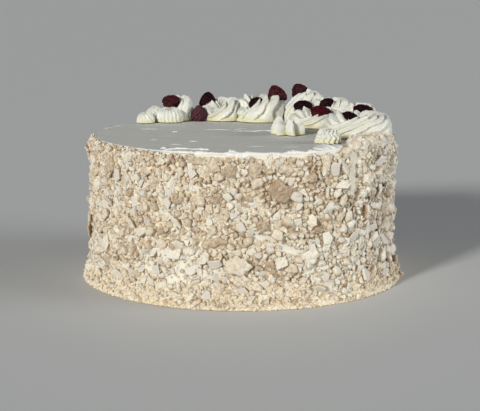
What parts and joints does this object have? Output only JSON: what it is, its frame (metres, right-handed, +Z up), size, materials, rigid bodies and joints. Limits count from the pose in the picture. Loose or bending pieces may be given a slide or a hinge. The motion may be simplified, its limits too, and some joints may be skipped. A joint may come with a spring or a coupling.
{
  "type": "raspberry meringue ice cream cake",
  "caption": "Round ice cream cake with a smooth cream top, crushed meringue pressed into its side, and a crescent of piped cream with frozen raspberries.",
  "frame": {"origin": "centre of the flat base of the cake, on the axis of its round body", "axes": "+Z up along the axis of the cake; -Y towards the bare front of the top; the piped crescent runs from the back left (-X, +Y) round the back to the right (+X)"},
  "size_m": [0.2348, 0.2345, 0.1329],
  "materials": {
    "crumbed_cream": "whipped cream coated with crushed meringue, matte and craggy; its flat top is smooth cream",
    "piped_cream": "piped whipped cream, softly glossy, with star-nozzle ridges",
    "meringue": "broken baked meringue, matte, with a paler smooth skin",
    "frozen_raspberry": "frozen raspberry, dark red, lightly frosted"
  },
  "bodies": {
    "root": {"cake": "crumbed_cream", "raspberry_far_left": "frozen_raspberry", "raspberry_far_middle": "frozen_raspberry", "raspberry_far_right": "frozen_raspberry", "raspberry_far_sunk": "frozen_raspberry", "raspberry_far_tall": "frozen_raspberry", "raspberry_front": "frozen_raspberry", "raspberry_front_sunk": "frozen_raspberry", "raspberry_inner": "frozen_raspberry", "raspberry_left": "frozen_raspberry", "raspberry_middle": "frozen_raspberry", "raspberry_on_top_cream": "frozen_raspberry", "shard_back": "meringue", "shard_back_left": "meringue", "shard_brown": "meringue", "shard_front": "meringue", "shard_left": "meringue", "shard_right": "meringue", "star_centre": "piped_cream", "star_front": "piped_cream", "star_left": "piped_cream", "star_left_behind": "piped_cream", "star_left_low": "piped_cream", "swirl_far": "piped_cream", "swirl_far_left": "piped_cream", "swirl_far_middle": "piped_cream", "swirl_far_right": "piped_cream", "swirl_front": "piped_cream", "swirl_inner": "piped_cream", "swirl_left": "piped_cream", "swirl_right_rim": "piped_cream"}
  },
  "joints": []
}
